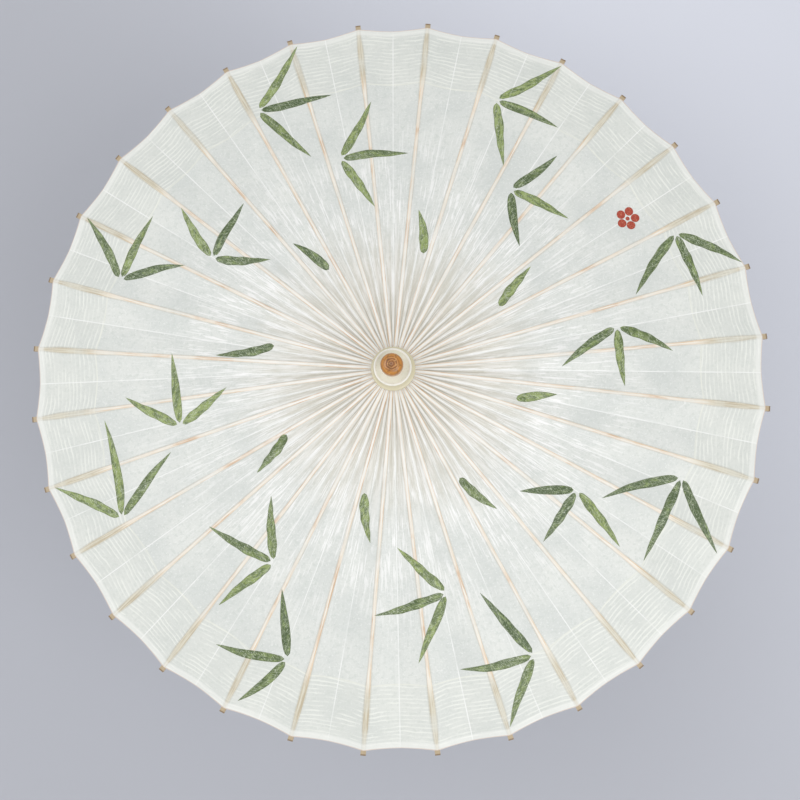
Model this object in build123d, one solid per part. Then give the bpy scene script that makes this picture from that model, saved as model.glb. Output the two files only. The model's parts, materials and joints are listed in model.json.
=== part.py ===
from build123d import *

# Oil paper umbrella, open. Millimetres, +Z up along the shaft, origin in the middle of the handle's
# end face. The first rib points along +X, and the others follow at even angles.
# The ribs hinge on a thread in the hub. The stretchers hinge on a thread in the runner, and their
# far ends sit in slots in the ribs, as far from the rib's hinge as the stretcher is long.

import os
from math import acos, cos, pi, radians, sin, tan

os.makedirs("parts", exist_ok=True)

# The umbrella as a whole
rib_count = 32
tip_radius = 425.0  # shaft axis to the rib tips, open
open_slope = 10.5  # degrees below level, ribs open
closed_slope = 88.0  # degrees below level, ribs folded
stretcher_length = 195.0  # hinge to hinge
paper_margin = 5.5  # bare rib past the edge of the paper
scallop_depth = 4.5  # how far the paper's edge curves in between two ribs

# Clearances
running_gap = 0.3  # between pieces that move past each other
seat_gap = 0.05  # between a piece and the socket it is fixed in
side_gap = 0.2  # each side of a knuckle in its slot
folded_gap = 0.5  # between neighbouring ribs when folded

# Bamboo ribs and stretchers
knuckle_radius = 2.4
knuckle_width = 2.0
knuckle_length = 8.0  # how far the narrow end reaches past its hinge
rib_mid_depth = 2.8  # hinge line to underside, at the stretcher's slot
rib_tip_depth = 1.2  # hinge line to underside, at the tip
stretcher_half_depth = 1.8
stretcher_end_radius = 1.5
eye_radius = 0.8
pin_radius = 0.6

# Hub, runner and their threads
tooth_root = 1.0  # thickness of the teeth at the bottom of the slots
hub_rim = 3.0  # wood outside the hinge circle
hub_roof = 3.0  # wood above the slots
tooth_drop = 6.0  # hinge circle to the open end of the slots
hub_neck_radius = 14.0
hub_neck_length = 10.0
runner_floor = 3.0
runner_sleeve_radius = 13.0
runner_sleeve_length = 24.0
runner_bead = 1.2
thread_radius = 0.5

# Shaft, latch and handle
shaft_radius = 8.0
shaft_above_hub = 10.0  # glued into the cap
latch_width = 3.6
latch_length = 38.0
latch_thickness = 4.0
latch_nose = 3.0  # how far the nose stands out of the shaft
latch_pin_radius = 1.0
latch_throw = 5.5  # degrees
grip_radius = 12.0
grip_length = 100.0
grip_chamfer = 2.0
end_height = 18.0
end_round = 4.0
shaft_in_end = 10.0
parking_gap = 8.0  # runner to handle, folded

# Cap, knob and paper
paper_thickness = 0.5
cap_skirt = 1.2
cap_ring_height = 3.4
cap_ring_step = 2.2  # ring's edge to the foot of the neck
cap_neck_height = 8.0
cap_neck_taper = 2.4  # how much narrower the neck is at its top
cap_disc_step = 3.6  # ring's edge to the disc's edge
cap_disc_height = 4.5
cap_round = 1.2
cap_crown = 1.0
knob_radius = 12.2
knob_foot_radius = 10.4
knob_height = 24.0
knob_round = 6.5
knob_tenon_radius = 4.0
knob_tenon_length = 5.0

# Hinges: the slots are cut as deep as leaves each tooth its thickness at the root
rib_pitch = 360.0 / rib_count
slot_width = knuckle_width + 2 * side_gap
slot_root_radius = (slot_width + tooth_root) * rib_count / (2 * pi)
hinge_radius = slot_root_radius + running_gap + knuckle_radius
hub_radius = hinge_radius + hub_rim
slot_room = knuckle_radius + running_gap
rib_length = (tip_radius - hinge_radius) / cos(radians(open_slope))

# Heights, built up from the handle with the runner parked just above it
handle_top = end_height + grip_length
runner_below = slot_room + runner_floor + runner_sleeve_length
folded_spacing = 2 * stretcher_length * sin(radians(closed_slope))
open_spacing = 2 * stretcher_length * sin(radians(open_slope))
hub_height = handle_top + parking_gap + runner_below + folded_spacing
runner_height = hub_height - open_spacing
hub_top = slot_room + hub_roof
shaft_top = hub_height + hub_top + shaft_above_hub

# What leaves the folded bundle its gaps sets the widths
half_pitch = tan(radians(rib_pitch / 2))
lean = cos(radians(closed_slope))
mid_width = 2 * (hinge_radius + stretcher_length * lean - rib_mid_depth) * half_pitch - folded_gap
tip_width = 2 * (hinge_radius + rib_length * lean - rib_tip_depth) * half_pitch - folded_gap
stretcher_width = 2 * (hinge_radius - stretcher_half_depth) * half_pitch - folded_gap

# The stretcher's tongue lies in the rib's slot until it has turned clear of the rib
tongue_width = knuckle_width
rib_slot_width = tongue_width + 2 * running_gap
clear_depth = rib_mid_depth + stretcher_half_depth + running_gap
slot_inward = clear_depth / sin(radians(2 * open_slope))
slot_outward = clear_depth / sin(radians(2 * (90 - closed_slope)))
tongue_length = slot_outward + knuckle_length / 2


def plan(points):
    """A face in the XY plane from its upper outline, mirrored over X."""
    return make_face(Polyline(*points, *[(x, -y) for x, y in reversed(points)], close=True))


def side(points):
    """A closed outline in the XZ plane."""
    return Plane.XZ * make_face(Polyline(*points, close=True))


def rod(radius, length, at):
    """A round rod across the piece, centred at a point."""
    return Pos(*at) * Rot(90, 0, 0) * Cylinder(radius, length)


def turned(points):
    """A piece turned about the shaft's axis from its outline (radius, height)."""
    return revolve(side(points), Axis.Z)


def around(piece, number):
    """The piece turned to the place of the given rib."""
    return Rot(0, 0, number * rib_pitch) * piece


def make_rib():
    """One rib, level along +X with its hinge at the origin, and the pin across its slot."""
    outline = plan(
        [
            (-knuckle_radius, knuckle_width / 2),
            (knuckle_length, knuckle_width / 2),
            (2 * knuckle_length, knuckle_width / 2 + side_gap),
            (stretcher_length - slot_inward, mid_width / 2),
            (stretcher_length, mid_width / 2),
            (rib_length, tip_width / 2),
        ]
    )
    profile = side(
        [
            (0, -knuckle_radius),
            (stretcher_length, -rib_mid_depth),
            (rib_length, -rib_tip_depth),
            (rib_length, knuckle_radius),
            (0, knuckle_radius),
        ]
    )
    height = 4 * knuckle_radius
    body = extrude(profile, tip_width, both=True) + rod(knuckle_radius, tip_width, (0, 0, 0))
    body &= extrude(outline, height, both=True)
    ceiling = stretcher_end_radius + running_gap
    slot = Box(
        slot_inward + slot_outward,
        rib_slot_width,
        height,
        align=(Align.MIN, Align.CENTER, Align.MAX),
    )
    body -= Pos(stretcher_length - slot_inward, 0, ceiling) * slot
    body -= rod(eye_radius, tip_width, (0, 0, 0))
    body -= rod(pin_radius, tip_width, (stretcher_length, 0, 0))
    pin = rod(pin_radius, mid_width, (stretcher_length, 0, 0))
    return body, pin


def make_stretcher():
    """One stretcher, level along +X with its hinge in the runner at the origin."""
    tongue_start = stretcher_length - tongue_length
    outline = plan(
        [
            (-knuckle_radius, knuckle_width / 2),
            (knuckle_length, knuckle_width / 2),
            (2 * knuckle_length, stretcher_width / 2),
            (tongue_start - knuckle_length, stretcher_width / 2),
            (tongue_start, tongue_width / 2),
            (stretcher_length + stretcher_end_radius, tongue_width / 2),
        ]
    )
    profile = side(
        [
            (0, -stretcher_half_depth),
            (tongue_start, -stretcher_half_depth),
            (stretcher_length, -stretcher_end_radius),
            (stretcher_length, stretcher_end_radius),
            (tongue_start, stretcher_half_depth),
            (0, stretcher_half_depth),
        ]
    )
    body = extrude(profile, stretcher_width, both=True)
    body += rod(knuckle_radius, stretcher_width, (0, 0, 0))
    body += rod(stretcher_end_radius, stretcher_width, (stretcher_length, 0, 0))
    body &= extrude(outline, 4 * knuckle_radius, both=True)
    body -= rod(eye_radius, stretcher_width, (0, 0, 0))
    body -= rod(pin_radius + side_gap, stretcher_width, (stretcher_length, 0, 0))
    return body


def cut_slots(piece, low, high):
    """The piece with a radial slot for each knuckle, and the groove for the thread they hinge on."""
    slot = Box(
        2 * hub_rim + hinge_radius - slot_root_radius,
        slot_width,
        high - low,
        align=(Align.MIN, Align.CENTER, Align.MIN),
    )
    slot = Pos(slot_root_radius, 0, low) * slot
    piece -= [around(slot, number) for number in range(rib_count)]
    return piece - Torus(hinge_radius, thread_radius + seat_gap)


def make_hub():
    """The notched block at the top of the shaft, with its slots open outwards and downwards."""
    block = turned(
        [
            (shaft_radius + seat_gap, -tooth_drop - hub_neck_length),
            (hub_neck_radius, -tooth_drop - hub_neck_length),
            (hub_neck_radius, -tooth_drop),
            (hub_radius, -tooth_drop),
            (hub_radius, hub_top),
            (shaft_radius + seat_gap, hub_top),
        ]
    )
    return cut_slots(block, -tooth_drop, slot_room)


def make_runner():
    """The notched block that slides on the shaft, with its slots open outwards and upwards."""
    floor = -slot_room - runner_floor
    foot = floor - runner_sleeve_length
    block = turned(
        [
            (shaft_radius + running_gap, foot),
            (runner_sleeve_radius, foot),
            (runner_sleeve_radius + runner_bead, foot + runner_bead),
            (runner_sleeve_radius + runner_bead, foot + 3 * runner_bead),
            (runner_sleeve_radius, foot + 4 * runner_bead),
            (runner_sleeve_radius, floor - runner_bead),
            (runner_sleeve_radius + runner_bead, floor),
            (hub_radius, floor),
            (hub_radius, tooth_drop),
            (shaft_radius + running_gap, tooth_drop),
        ]
    )
    return cut_slots(block, -slot_room, tooth_drop)


# The latch hinges on its pin at the foot of its slot, and its nose stands just under the runner
latch_top = runner_height - runner_below - running_gap
latch_hinge = latch_top - latch_length
latch_front = shaft_radius - latch_thickness / 2
latch_back = latch_front - latch_thickness


def make_latch():
    """The bamboo lever in the shaft: a nose that holds the runner up, tapered so that it slips past."""
    nose = shaft_radius + latch_nose
    outline = [
        (latch_back, -latch_thickness / 2),
        (latch_front, -latch_thickness / 2),
        (latch_front, latch_length / 2),
        (nose, latch_length - latch_thickness / 2),
        (nose, latch_length),
        (latch_back, latch_length),
    ]
    lever = extrude(side(outline), latch_width / 2, both=True)
    lever -= rod(latch_pin_radius + seat_gap, latch_width, (latch_front - latch_thickness / 2, 0, 0))
    return Pos(0, 0, latch_hinge) * lever


def make_shaft():
    """The round shaft with the latch's slot and the hole for the latch's pin."""
    foot = end_height - shaft_in_end
    shaft = Pos(0, 0, foot) * Cylinder(
        shaft_radius, shaft_top - foot, align=(Align.CENTER, Align.CENTER, Align.MIN)
    )
    # the slot is deep enough for the back of the lever when its nose is pressed in
    swing = latch_length * sin(radians(latch_throw))
    depth = shaft_radius + latch_nose - latch_back + swing + running_gap
    slot = Box(
        2 * depth,
        latch_width + 2 * running_gap,
        latch_length + latch_thickness + 2 * running_gap,
        align=(Align.CENTER, Align.CENTER, Align.MIN),
    )
    slot_foot = latch_hinge - latch_thickness / 2 - 2 * running_gap
    shaft -= Pos(shaft_radius + latch_nose, 0, slot_foot) * slot
    pin_at = (latch_front - latch_thickness / 2, 0, latch_hinge)
    return shaft - rod(latch_pin_radius, 3 * shaft_radius, pin_at)


def make_latch_pin():
    """The pin across the shaft, flush with its surface, that the latch turns on."""
    pin_at = (latch_front - latch_thickness / 2, 0, latch_hinge)
    half_chord = shaft_radius * sin(acos((pin_at[0] + latch_pin_radius) / shaft_radius))
    return rod(latch_pin_radius, 2 * half_chord, pin_at)


def make_grip():
    """The turned grip round the bottom of the shaft."""
    top = handle_top
    return turned(
        [
            (shaft_radius + seat_gap, end_height),
            (grip_radius, end_height),
            (grip_radius, top - grip_chamfer),
            (grip_radius - grip_chamfer, top),
            (shaft_radius + seat_gap, top),
        ]
    )


def make_handle_end():
    """The rounded wooden foot that closes the handle, with a socket for the shaft."""
    cap = Cylinder(grip_radius, end_height, align=(Align.CENTER, Align.CENTER, Align.MIN))
    cap = fillet(cap.edges().group_by(Axis.Z)[0], end_round)
    socket = Cylinder(
        shaft_radius + seat_gap, shaft_in_end, align=(Align.CENTER, Align.CENTER, Align.MAX)
    )
    return cap - Pos(0, 0, end_height) * socket


# The paper lies a running gap above the ribs' flat tops, on a cone of the open slope
paper_rise = (knuckle_radius + running_gap) / cos(radians(open_slope))
paper_inner = hub_radius + running_gap
paper_outer = tip_radius - paper_margin
paper_drop = paper_thickness / cos(radians(open_slope))


def paper_under(radius):
    """Height of the paper's underside above the rib hinges at a radius."""
    return paper_rise - (radius - hinge_radius) * tan(radians(open_slope))


def make_canopy():
    """The paper: one shallow cone with an edge that curves in between the ribs."""
    cone = turned(
        [
            (paper_inner, paper_under(paper_inner)),
            (tip_radius, paper_under(tip_radius)),
            (tip_radius, paper_under(tip_radius) + paper_drop),
            (paper_inner, paper_under(paper_inner) + paper_drop),
        ]
    )
    edges = []
    for number in range(rib_count):
        start = Vector(paper_outer, 0).rotate(Axis.Z, number * rib_pitch)
        middle = Vector(paper_outer - scallop_depth, 0).rotate(Axis.Z, (number + 0.5) * rib_pitch)
        end = Vector(paper_outer, 0).rotate(Axis.Z, ((number + 1) % rib_count) * rib_pitch)
        edges.append(ThreePointArc(start, middle, end))
    outline = extrude(make_face(edges), tip_radius, both=True)
    return cone & outline


# The cap's skirt ends just above the paper; the cap stands on the hub
skirt_foot = paper_under(paper_inner) + paper_drop + running_gap
cap_radius = hub_radius + cap_skirt
cap_ring_top = hub_top + cap_ring_height
cap_disc_foot = cap_ring_top + cap_neck_height
cap_disc_top = cap_disc_foot + cap_disc_height
cap_top = max(cap_disc_top + cap_crown, hub_top + shaft_above_hub + knob_tenon_length + cap_crown)


def make_cap():
    """The turned cap: a ring, a neck that narrows upwards, a disc and a low crown under the knob."""
    neck_radius = cap_radius - cap_ring_step
    disc_radius = cap_radius - cap_disc_step
    blank = turned(
        [
            (0, hub_top),
            (hub_radius + seat_gap, hub_top),
            (hub_radius + seat_gap, skirt_foot),
            (cap_radius, skirt_foot),
            (cap_radius, cap_ring_top - cap_round),
            (cap_radius - cap_round, cap_ring_top),
            (neck_radius, cap_ring_top),
            (neck_radius - cap_neck_taper, cap_disc_foot),
            (disc_radius - cap_round, cap_disc_foot),
            (disc_radius, cap_disc_foot + cap_round),
            (disc_radius, cap_disc_top - cap_round),
            (disc_radius - cap_round, cap_disc_top),
            (knob_foot_radius + cap_round, cap_top),
            (0, cap_top),
        ]
    )
    for radius, depth, level, way in (
        (shaft_radius + seat_gap, shaft_above_hub, hub_top, Align.MIN),
        (knob_tenon_radius + seat_gap, knob_tenon_length, cap_top, Align.MAX),
    ):
        bore = Cylinder(radius, depth, align=(Align.CENTER, Align.CENTER, way))
        blank -= Pos(0, 0, level) * bore
    return blank


def make_knob():
    """The domed wooden knob, narrower at its foot, with a tenon in the cap."""
    knob = turned(
        [
            (0, 0),
            (knob_foot_radius, 0),
            (knob_radius, knob_height / 2),
            (knob_radius, knob_height),
            (0, knob_height),
        ]
    )
    knob = fillet(knob.edges().group_by(Axis.Z)[-1], knob_round)
    tenon = Cylinder(
        knob_tenon_radius, knob_tenon_length, align=(Align.CENTER, Align.CENTER, Align.MAX)
    )
    return Pos(0, 0, cap_top) * (knob + tenon)


def write(name, *solids):
    """One STEP file for the node, with each of its pieces as a solid of its own."""
    pieces = [solid for piece in solids for solid in piece.solids()]
    export_step(Compound(children=pieces), f"parts/{name}.step")


at_hub = Pos(0, 0, hub_height)
at_runner = Pos(0, 0, runner_height)

rib, rib_pin = make_rib()
hang_rib = at_hub * Pos(hinge_radius, 0, 0) * Rot(0, open_slope, 0)
for number in range(rib_count):
    write(f"rib_{number + 1:02d}", around(hang_rib * rib, number), around(hang_rib * rib_pin, number))

stretcher = at_runner * Pos(hinge_radius, 0, 0) * Rot(0, -open_slope, 0) * make_stretcher()
for pair in range(rib_count // 2):
    first, second = 2 * pair, 2 * pair + 1
    name = f"stretchers_{first + 1:02d}_{second + 1:02d}"
    write(name, around(stretcher, first), around(stretcher, second))

write("upper_hub", at_hub * make_hub())
write("hub_thread", at_hub * Torus(hinge_radius, thread_radius))
write("runner", at_runner * make_runner())
write("runner_thread", at_runner * Torus(hinge_radius, thread_radius))
write("shaft", make_shaft())
write("latch", make_latch())
write("latch_pin", make_latch_pin())
write("handle_grip", make_grip())
write("handle_end", make_handle_end())
write("canopy", at_hub * make_canopy())
write("top_cap", at_hub * make_cap())
write("finial_knob", at_hub * make_knob())

runner_travel = folded_spacing - open_spacing
print("hub height", round(hub_height, 3), "runner height", round(runner_height, 3))
print("hinge radius", round(hinge_radius, 3), "hub radius", round(hub_radius, 3))
print("runner travel", round(runner_travel, 3), "fold angle", closed_slope - open_slope)
print("rib length", round(rib_length, 3), "widths", round(mid_width, 2), round(tip_width, 2))
print("cap top", round(hub_height + cap_top, 3), "latch hinge", round(latch_hinge, 3))
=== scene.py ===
import json
import random
from math import asin, atan2, cos, exp, hypot, pi, radians, sin, tan

import bmesh
import bpy
from mathutils import Matrix, Vector, noise


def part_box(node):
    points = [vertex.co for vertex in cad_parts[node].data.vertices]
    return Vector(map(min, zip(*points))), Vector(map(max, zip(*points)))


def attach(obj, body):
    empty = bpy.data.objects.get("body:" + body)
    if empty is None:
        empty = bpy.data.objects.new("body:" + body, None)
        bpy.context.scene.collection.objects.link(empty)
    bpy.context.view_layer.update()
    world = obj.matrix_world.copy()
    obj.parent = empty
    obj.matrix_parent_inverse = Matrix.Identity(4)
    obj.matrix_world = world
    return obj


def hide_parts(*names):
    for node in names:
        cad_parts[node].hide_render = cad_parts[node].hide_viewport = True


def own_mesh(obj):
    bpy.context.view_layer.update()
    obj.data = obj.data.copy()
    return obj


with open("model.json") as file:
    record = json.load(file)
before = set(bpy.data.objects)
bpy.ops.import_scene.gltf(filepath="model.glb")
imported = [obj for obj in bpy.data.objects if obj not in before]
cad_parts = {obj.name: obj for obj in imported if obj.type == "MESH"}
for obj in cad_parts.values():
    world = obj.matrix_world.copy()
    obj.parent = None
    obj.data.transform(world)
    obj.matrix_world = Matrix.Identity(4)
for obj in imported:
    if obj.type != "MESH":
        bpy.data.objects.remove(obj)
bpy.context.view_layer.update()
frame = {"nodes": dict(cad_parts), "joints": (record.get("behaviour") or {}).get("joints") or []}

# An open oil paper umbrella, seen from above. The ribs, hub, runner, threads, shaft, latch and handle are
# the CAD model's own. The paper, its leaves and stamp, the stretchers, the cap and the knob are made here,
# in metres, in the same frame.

joints = {joint["name"]: joint for joint in frame["joints"]}

MM = 0.001
RIBS = 32
PITCH = 2 * pi / RIBS
HALF = PITCH / 2
SLOPE = radians(10.5)  # the open ribs' fall below level
CLOSED_SLOPE = SLOPE + radians(joints["rib_01_hinge"]["range_deg"][1])

# Places read from the CAD model
HINGE_R, _, HUB_Z = joints["rib_01_hinge"]["pos_m"]
HUB_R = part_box("upper_hub")[1][0]
TIP_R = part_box("rib_01")[1][0]
RUNNER_Z = joints["stretchers_01_02_hinge"]["pos_m"][2]
CAP_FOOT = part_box("top_cap")[0][2]
CAP_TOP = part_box("top_cap")[1][2]
CAP_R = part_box("top_cap")[1][0]
KNOB_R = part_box("finial_knob")[1][0]
KNOB_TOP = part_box("finial_knob")[1][2]
STRETCHER_END = 1.5 * MM  # the pin at a stretcher's far end lies this far inside its tip
STRETCH_L = (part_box("stretchers_01_02")[1][0] - HINGE_R) / cos(SLOPE) - STRETCHER_END

# The cap's ring, neck, disc and crown from the foot up, and the knob's foot
CAP_RING = 6.2 * MM
CAP_RING_STEP = 2.2 * MM
CAP_NECK = 8 * MM
CAP_NECK_TAPER = 2.4 * MM
CAP_DISC_STEP = 3.6 * MM
CAP_CROWN = 1 * MM
KNOB_FOOT_R = KNOB_R - 1.8 * MM

# The paper
RIB_TOP = 2.45 * MM  # hinge line to the paper's underside, square to the rib
PAPER = 0.25 * MM
HEM = 8 * MM
HEM_EXTRA = 0.15 * MM  # what the fold adds to the paper's thickness
RIM_AT_RIB = TIP_R - 5.5 * MM  # the rib tips stand out of the paper's edge,
RIM_AT_CREASE = TIP_R - 10 * MM  # which is scalloped between them
PAPER_IN = HUB_R + 0.4 * MM
STRIP_AT_HINGE = 1.13 * MM  # half the width of the paper glued to a rib
STRIP_GROWTH = 4.55 * MM  # how much wider that half is for each metre along the rib
SAG = 2.7 * MM  # how far the crease of a wide panel lies below its ribs
SAG_SLOPE = tan(radians(22))  # how steeply the narrow end of a panel falls from rib to crease
RIPPLE = 0.45 * MM
RIPPLE_PER_METRE = 38.0
STRETCHER_KEEP = 0.5  # and what a folded stretcher keeps along its fold's leaned axis
ALONG = 66  # points along a piece of paper, up to its hem
HEM_POINTS = 4
HEM_STEP = 0.4 * MM  # half the length over which the hem's step rises
ACROSS = 9  # points across a half panel


# ------------------------ shader helpers


def node(tree, kind, inputs=None, **settings):
    """A new shader node; an input may be a value or another node's output."""
    made = tree.nodes.new(kind)
    for key, value in settings.items():
        setattr(made, key, value)
    for key, value in (inputs or {}).items():
        if isinstance(value, bpy.types.NodeSocket):
            tree.links.new(value, made.inputs[key])
        else:
            made.inputs[key].default_value = value
    return made


def new_material(name, **shader):
    """A material with a Principled shader whose constant values are given by name."""
    material = bpy.data.materials.new(name)
    material.use_nodes = True
    tree = material.node_tree
    surface = tree.nodes["Principled BSDF"]
    for key, value in shader.items():
        surface.inputs[key.replace("_", " ")].default_value = value
    return material, tree, surface


def attribute(tree, name):
    return node(tree, "ShaderNodeAttribute", attribute_name=name).outputs["Fac"]


def math_node(tree, operation, first, second=0.0):
    return node(tree, "ShaderNodeMath", {0: first, 1: second}, operation=operation).outputs[0]


def ramp(tree, value, low, high, to_low=0.0, to_high=1.0):
    """The value carried from the range low..high to another range, with soft ends."""
    made = node(
        tree,
        "ShaderNodeMapRange",
        {"Value": value, "From Min": low, "From Max": high, "To Min": to_low, "To Max": to_high},
        interpolation_type="SMOOTHSTEP",
    )
    return made.outputs["Result"]


def mix(tree, share, first, second, blend_type="MIX"):
    made = node(
        tree, "ShaderNodeMix", {0: share, 6: first, 7: second}, data_type="RGBA", blend_type=blend_type
    )
    return made.outputs[2]


def noise_at(tree, vector, scale, detail=3.0, roughness=0.55):
    made = node(
        tree,
        "ShaderNodeTexNoise",
        {"Vector": vector, "Scale": scale, "Detail": detail, "Roughness": roughness},
    )
    return made.outputs["Fac"]


def finish_surface(tree, surface, colour, height=None, strength=0.0, distance=0.0):
    """Gives the surface its colour, and a bump where there is a height."""
    tree.links.new(colour, surface.inputs["Base Color"])
    if height is not None:
        inputs = {"Strength": strength, "Distance": distance, "Height": height}
        made = node(tree, "ShaderNodeBump", inputs)
        tree.links.new(made.outputs["Normal"], surface.inputs["Normal"])


def combine(tree, x=0.0, y=0.0, z=0.0):
    return node(tree, "ShaderNodeCombineXYZ", {0: x, 1: y, 2: z}).outputs[0]


def from_shaft(tree, place):
    """A place's level vector from the shaft's axis, that vector's length, and the place's height."""
    parts = node(tree, "ShaderNodeSeparateXYZ", {0: place})
    level = combine(tree, parts.outputs[0], parts.outputs[1])
    radius = node(tree, "ShaderNodeVectorMath", {0: level}, operation="LENGTH").outputs["Value"]
    return level, radius, parts.outputs[2]


def around_shaft(tree, place, turns, reach):
    """A texture place that turns with the direction from the shaft and runs out along it."""
    level, radius, _ = from_shaft(tree, place)
    way = node(tree, "ShaderNodeVectorMath", {0: level}, operation="NORMALIZE").outputs[0]
    way = node(tree, "ShaderNodeVectorMath", {0: way, "Scale": turns}, operation="SCALE").outputs[0]
    out = combine(tree, z=math_node(tree, "MULTIPLY", radius, reach))
    return node(tree, "ShaderNodeVectorMath", {0: way, 1: out}, operation="ADD").outputs[0]


def object_place(tree):
    return node(tree, "ShaderNodeTexCoord").outputs["Object"]


# ------------------------ materials


def paper_material():
    """Oiled paper: cloudy, with laid lines near the edge and the ribs showing through as warm stripes.

    Lengths here are millimetres, as the paper's attributes are. Each layer lies over those before it."""
    material, tree, surface = new_material(
        "oiled_paper", Roughness=0.5, Coat_Weight=0.28, Coat_Roughness=0.2, Specular_IOR_Level=0.3
    )

    def times(*factors):
        product = factors[0]
        for factor in factors[1:]:
            product = math_node(tree, "MULTIPLY", product, factor)
        return product

    def layer(under, share, over):
        return mix(tree, share, under, over)

    sheet = node(tree, "ShaderNodeUVMap", uv_map="sheet").outputs[0]
    signed = attribute(tree, "across")
    across = math_node(tree, "ABSOLUTE", signed)
    crease = attribute(tree, "from_crease")
    rim = attribute(tree, "from_rim")
    radius = attribute(tree, "radius")
    tone = attribute(tree, "tone")
    inner = ramp(tree, radius, 60.0, 230.0, 1.0, 0.0)
    core = ramp(tree, radius, 30.0, 120.0, 1.0, 0.0)

    # the pulp: clouds, specks, pale flecks and long fibres
    clouds = noise_at(tree, sheet, 16.0, 4.0)
    flecks = noise_at(tree, sheet, 420.0, 4.0, 0.65)
    colour = mix(tree, ramp(tree, clouds, 0.3, 0.7), (0.70, 0.73, 0.71, 1), (0.80, 0.82, 0.79, 1))
    pulp = noise_at(tree, sheet, 190.0, 5.0, 0.7)
    colour = layer(colour, ramp(tree, pulp, 0.52, 0.36, 0.0, 0.5), (0.62, 0.665, 0.63, 1))
    colour = layer(colour, ramp(tree, flecks, 0.54, 0.68, 0.0, 0.6), (0.92, 0.94, 0.92, 1))
    fibre = math_node(tree, "ABSOLUTE", math_node(tree, "SUBTRACT", noise_at(tree, sheet, 75.0, 2.0), 0.5))
    fibre = times(ramp(tree, fibre, 0.010, 0.002), ramp(tree, noise_at(tree, sheet, 40.0), 0.5, 0.65))
    colour = layer(colour, times(fibre, 0.55), (0.93, 0.94, 0.92, 1))

    # varnish dragged outwards from the cap, which warms the paper there; its streaks carry painted shade
    # in their hollows and painted highlights on their ridges, and painted glints spread further out
    colour = layer(colour, ramp(tree, radius, 40.0, 190.0, 0.75, 0.0), (0.78, 0.745, 0.66, 1))
    drawn = noise_at(tree, around_shaft(tree, sheet, 42.0, 26.0), 1.0, 5.0, 0.62)
    fine_drawn = noise_at(tree, around_shaft(tree, sheet, 120.0, 40.0), 1.0, 3.0, 0.6)
    # painted shade in the streaks' hollows, then painted highlights on their ridges
    colour = layer(colour, times(ramp(tree, drawn, 0.52, 0.34), inner, 0.5), (0.68, 0.65, 0.56, 1))
    colour = layer(colour, times(ramp(tree, drawn, 0.46, 0.60), inner, 0.95), (0.99, 0.99, 0.97, 1))
    # painted glints, white, fading out by 350 mm from the shaft
    glint_highlight = times(ramp(tree, fine_drawn, 0.53, 0.60), ramp(tree, clouds, 0.36, 0.54))
    colour = layer(colour, times(glint_highlight, ramp(tree, radius, 140.0, 350.0, 1.0, 0.0)), (1.0, 1.0, 1.0, 1))

    # painted shade on the webs' steep sides near the cap, and painted dark shade in the creases between
    # them close to the cap
    reach = math_node(tree, "ADD", math_node(tree, "ADD", across, crease), 0.01)
    place = math_node(tree, "DIVIDE", across, reach)
    steep_side_shade = times(ramp(tree, place, 0.25, 0.5), ramp(tree, place, 0.95, 0.7))
    colour = layer(colour, times(steep_side_shade, ramp(tree, radius, 60.0, 190.0, 0.5, 0.0)), (0.60, 0.56, 0.46, 1))
    # painted dark shade along the creases close to the cap
    crease_shade = times(ramp(tree, place, 0.5, 0.62), ramp(tree, place, 0.74, 0.62), core)
    colour = layer(colour, times(crease_shade, 0.7), (0.26, 0.22, 0.17, 1))

    # laid lines and the doubled band near the edge
    drift = times(noise_at(tree, around_shaft(tree, sheet, 7.0, 25.0), 1.0, 3.0), 15.0)
    wave = math_node(tree, "SINE", math_node(tree, "ADD", times(rim, 1.35), drift))
    patchy = noise_at(tree, around_shaft(tree, sheet, 16.0, 90.0), 1.0, 4.0)
    patchy = ramp(tree, patchy, 0.38, 0.62, 0.05, 1.0)
    band = ramp(tree, rim, 72.5, 71.0)
    colour = layer(colour, times(band, 0.35), (0.71, 0.735, 0.69, 1))
    colour = layer(colour, times(ramp(tree, wave, 0.1, 0.9), patchy, band, 0.75), (0.90, 0.92, 0.87, 1))
    band_edge = times(band, ramp(tree, rim, 69.5, 71.0))
    colour = layer(colour, times(band_edge, 0.5), (0.88, 0.89, 0.80, 1))

    # the ribs seen through the paper: amber in places, and wide and olive in the doubled band, with
    # painted highlights on one side and down the middle, and a painted shadow beside each stripe
    half = ramp(tree, radius, 40.0, 200.0, 2.1, 1.75)
    swell = times(ramp(tree, rim, 100.0, 50.0, 0.0, 1.5), ramp(tree, rim, 0.0, 30.0))
    half = math_node(tree, "ADD", half, swell)
    past = math_node(tree, "SUBTRACT", across, half)
    grain_place = combine(tree, times(signed, 0.9), times(radius, 0.035), times(tone, 70.0))
    grain = noise_at(tree, grain_place, 1.0, 4.0, 0.6)
    along = noise_at(tree, combine(tree, times(radius, 0.022), times(tone, 900.0)), 1.0, 3.0)
    wood = mix(tree, ramp(tree, grain, 0.38, 0.6), (0.79, 0.56, 0.34, 1), (0.93, 0.87, 0.75, 1))
    # a painted highlight on one side of each stripe
    wood = layer(wood, ramp(tree, signed, 0.7, -0.3, 0.0, 0.6), (0.95, 0.90, 0.82, 1))
    wood = layer(wood, ramp(tree, past, -0.7, 0.0, 0.0, 0.5), (0.76, 0.47, 0.25, 1))
    amber = times(ramp(tree, along, 0.50, 0.64), ramp(tree, radius, 340.0, 280.0))
    amber = times(amber, ramp(tree, grain, 0.62, 0.42))
    wood = layer(wood, times(amber, 0.8), (0.58, 0.31, 0.12, 1))
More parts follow.
